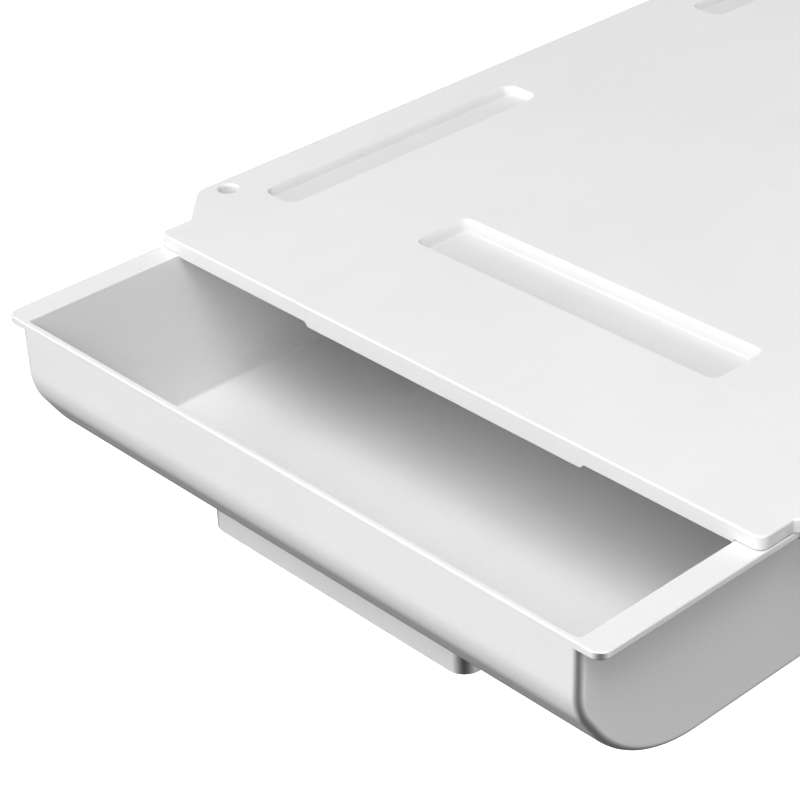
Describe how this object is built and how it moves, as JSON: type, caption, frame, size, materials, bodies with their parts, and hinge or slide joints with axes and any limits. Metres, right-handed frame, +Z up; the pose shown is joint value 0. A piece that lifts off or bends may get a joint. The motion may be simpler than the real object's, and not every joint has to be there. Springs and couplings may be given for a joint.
{
  "type": "under desk drawer",
  "caption": "Under desk drawer: a flat mounting plate with screw ears, guide rails beneath it, and a shallow tray that slides out to the front on its rim.",
  "frame": {"origin": "centre of the mounting plate's flat top face, which meets the underside of the desk", "axes": "+Z up into the desk, -Y to the front where the tray slides out, +X to the right seen from the front"},
  "size_m": [0.269, 0.4587, 0.0584],
  "materials": {
    "plate_plastic": "white moulded plastic, fine satin texture",
    "tray_plastic": "white moulded plastic, satin",
    "pull_plastic": "white moulded plastic, fine matt texture",
    "rail_plastic": "white moulded plastic, low sheen",
    "catch_plastic": "off-white moulded plastic",
    "screw_steel": "bright zinc-plated steel"
  },
  "bodies": {
    "desk_mount": {"mounting_plate": "plate_plastic", "left_guide_rail": "rail_plastic", "right_guide_rail": "rail_plastic", "left_rail_screw_1": "screw_steel", "left_rail_screw_2": "screw_steel", "left_rail_screw_3": "screw_steel", "left_rail_screw_4": "screw_steel", "right_rail_screw_1": "screw_steel", "right_rail_screw_2": "screw_steel", "right_rail_screw_3": "screw_steel", "right_rail_screw_4": "screw_steel"},
    "drawer": {"tray": "tray_plastic", "finger_pull": "pull_plastic", "left_stop_catch": "catch_plastic", "right_stop_catch": "catch_plastic"}
  },
  "joints": [
    {"name": "tray_slide", "type": "slide", "parent": "desk_mount", "child": "drawer", "axis": [0, -1, 0], "range_m": [-0.0559, 0.198]}
  ]
}
